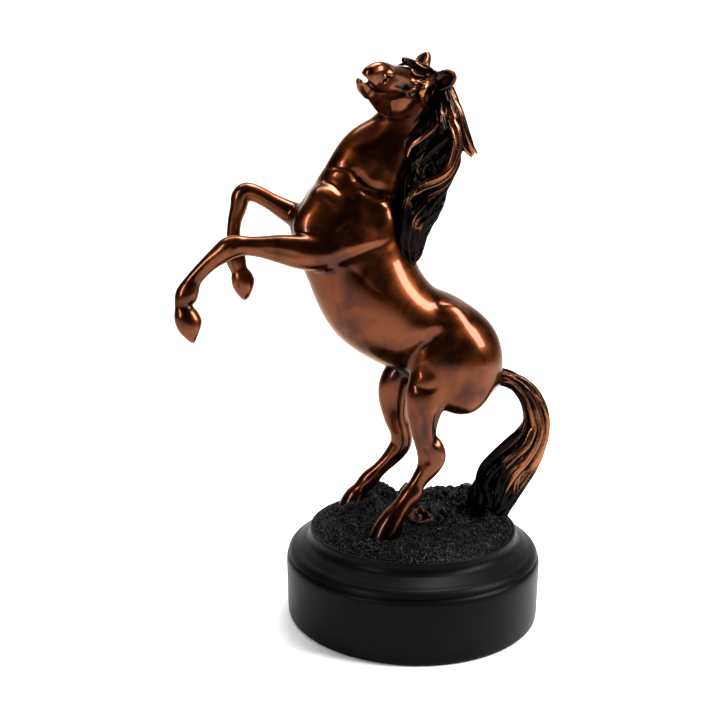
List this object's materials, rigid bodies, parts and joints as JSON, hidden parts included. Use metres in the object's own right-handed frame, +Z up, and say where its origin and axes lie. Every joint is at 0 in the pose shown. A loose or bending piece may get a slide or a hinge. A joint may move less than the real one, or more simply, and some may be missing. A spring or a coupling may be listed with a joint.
{
  "type": "horse statue",
  "caption": "Rearing horse statue in dark bronze on a round black turned plinth, cast in sections that are pinned together and bolted down.",
  "frame": {"origin": "middle of the felt pad's underside, under the middle of the round plinth", "axes": "+Z up; the horse faces -X; its left side faces -Y and its mirror plane is y = 0"},
  "size_m": [0.1842, 0.127, 0.2725],
  "materials": {
    "bronze": "polished copper-brown bronze under clear lacquer, darker in the hollows",
    "black_patina": "black patina rubbed back to copper on the ridges",
    "black_lacquer": "satin black",
    "felt": "black felt",
    "steel": "plain steel"
  },
  "bodies": {
    "root": {"plinth": "black_lacquer", "felt_pad": "felt", "ground_casting": "black_patina", "torso_casting": "bronze", "head_casting": "bronze", "foreleg_left_casting": "bronze", "foreleg_right_casting": "bronze", "hind_leg_left_casting": "bronze", "hind_leg_right_casting": "bronze", "mane_casting": "black_patina", "forelock_casting": "black_patina", "tail_casting": "black_patina", "neck_dowel": "steel", "mane_pin": "steel", "foreleg_left_dowel": "steel", "foreleg_right_dowel": "steel", "hind_leg_left_dowel": "steel", "hind_leg_right_dowel": "steel", "tail_dowel": "steel", "hoof_left_stud": "steel", "hoof_left_washer": "steel", "hoof_left_nut": "steel", "hoof_right_stud": "steel", "hoof_right_washer": "steel", "hoof_right_nut": "steel", "tail_stud": "steel", "tail_washer": "steel", "tail_nut": "steel", "plinth_screw_1": "steel", "plinth_screw_2": "steel", "plinth_screw_3": "steel", "plinth_washer_1": "steel", "plinth_washer_2": "steel", "plinth_washer_3": "steel"}
  },
  "joints": []
}
